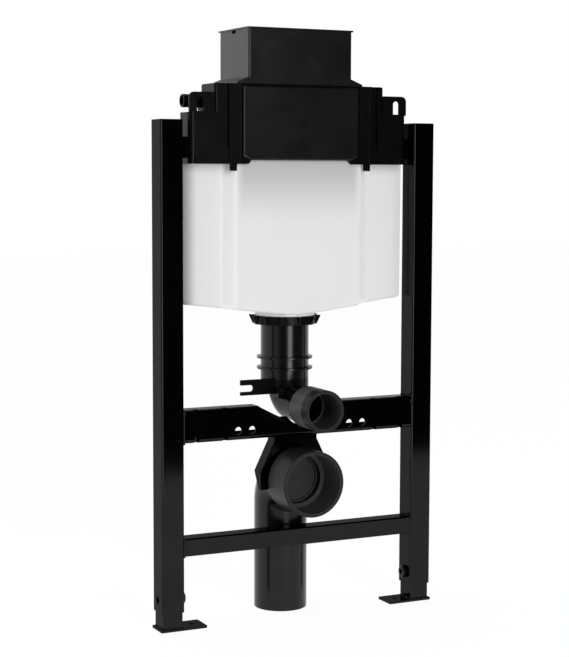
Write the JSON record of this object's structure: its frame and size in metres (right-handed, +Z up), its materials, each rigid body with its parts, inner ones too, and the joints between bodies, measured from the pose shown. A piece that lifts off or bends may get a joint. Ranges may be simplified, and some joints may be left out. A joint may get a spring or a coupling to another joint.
{
  "type": "wall hung toilet frame",
  "caption": "Steel wall hung toilet frame with telescopic legs, crossbars, concealed white cistern with black lid and access shaft, flush bend and waste bend.",
  "frame": {"origin": "on the floor, on the centre line, midway between the two floor bolt holes", "axes": "+X to the right seen from the front, +Y to the wall behind, +Z up"},
  "size_m": [0.504, 0.2115, 0.975],
  "materials": {
    "frame_steel": "gloss black powder coat",
    "black_moulding": "satin black moulding",
    "white_tank": "satin white moulding",
    "seal_rubber": "matt black rubber",
    "clamp_steel": "black oxide",
    "inlet_plastic": "black threaded moulding"
  },
  "bodies": {
    "frame": {"access_shaft": "black_moulding", "cistern_lid": "black_moulding", "cistern_tank": "white_tank", "flush_bend": "black_moulding", "flush_lug": "black_moulding", "flush_seal": "seal_rubber", "front_housing": "black_moulding", "inlet_nut": "black_moulding", "inlet_stub": "inlet_plastic", "left_cistern_bracket": "frame_steel", "left_clamp_bolt": "clamp_steel", "left_hanging_tab": "black_moulding", "left_lid_clip": "black_moulding", "left_upright": "frame_steel", "left_upright_cap": "black_moulding", "lower_crossbar": "frame_steel", "outlet_nut": "black_moulding", "outlet_sleeve": "black_moulding", "pan_crossbar": "frame_steel", "right_cistern_bracket": "frame_steel", "right_clamp_bolt": "clamp_steel", "right_hanging_tab": "black_moulding", "right_lid_clip": "black_moulding", "right_upright": "frame_steel", "right_upright_cap": "black_moulding", "shaft_cover": "black_moulding", "waste_bend": "black_moulding", "waste_bracket": "frame_steel", "waste_plug": "black_moulding", "waste_seal": "seal_rubber"},
    "left_leg": {"left_leg": "frame_steel", "left_foot_plate": "frame_steel"},
    "right_leg": {"right_leg": "frame_steel", "right_foot_plate": "frame_steel"}
  },
  "joints": [
    {"name": "left_leg_slide", "type": "slide", "parent": "frame", "child": "left_leg", "axis": [0, 0, -1], "range_m": [0, 0.18]},
    {"name": "right_leg_slide", "type": "slide", "parent": "frame", "child": "right_leg", "axis": [0, 0, -1], "range_m": [0, 0.18]}
  ]
}
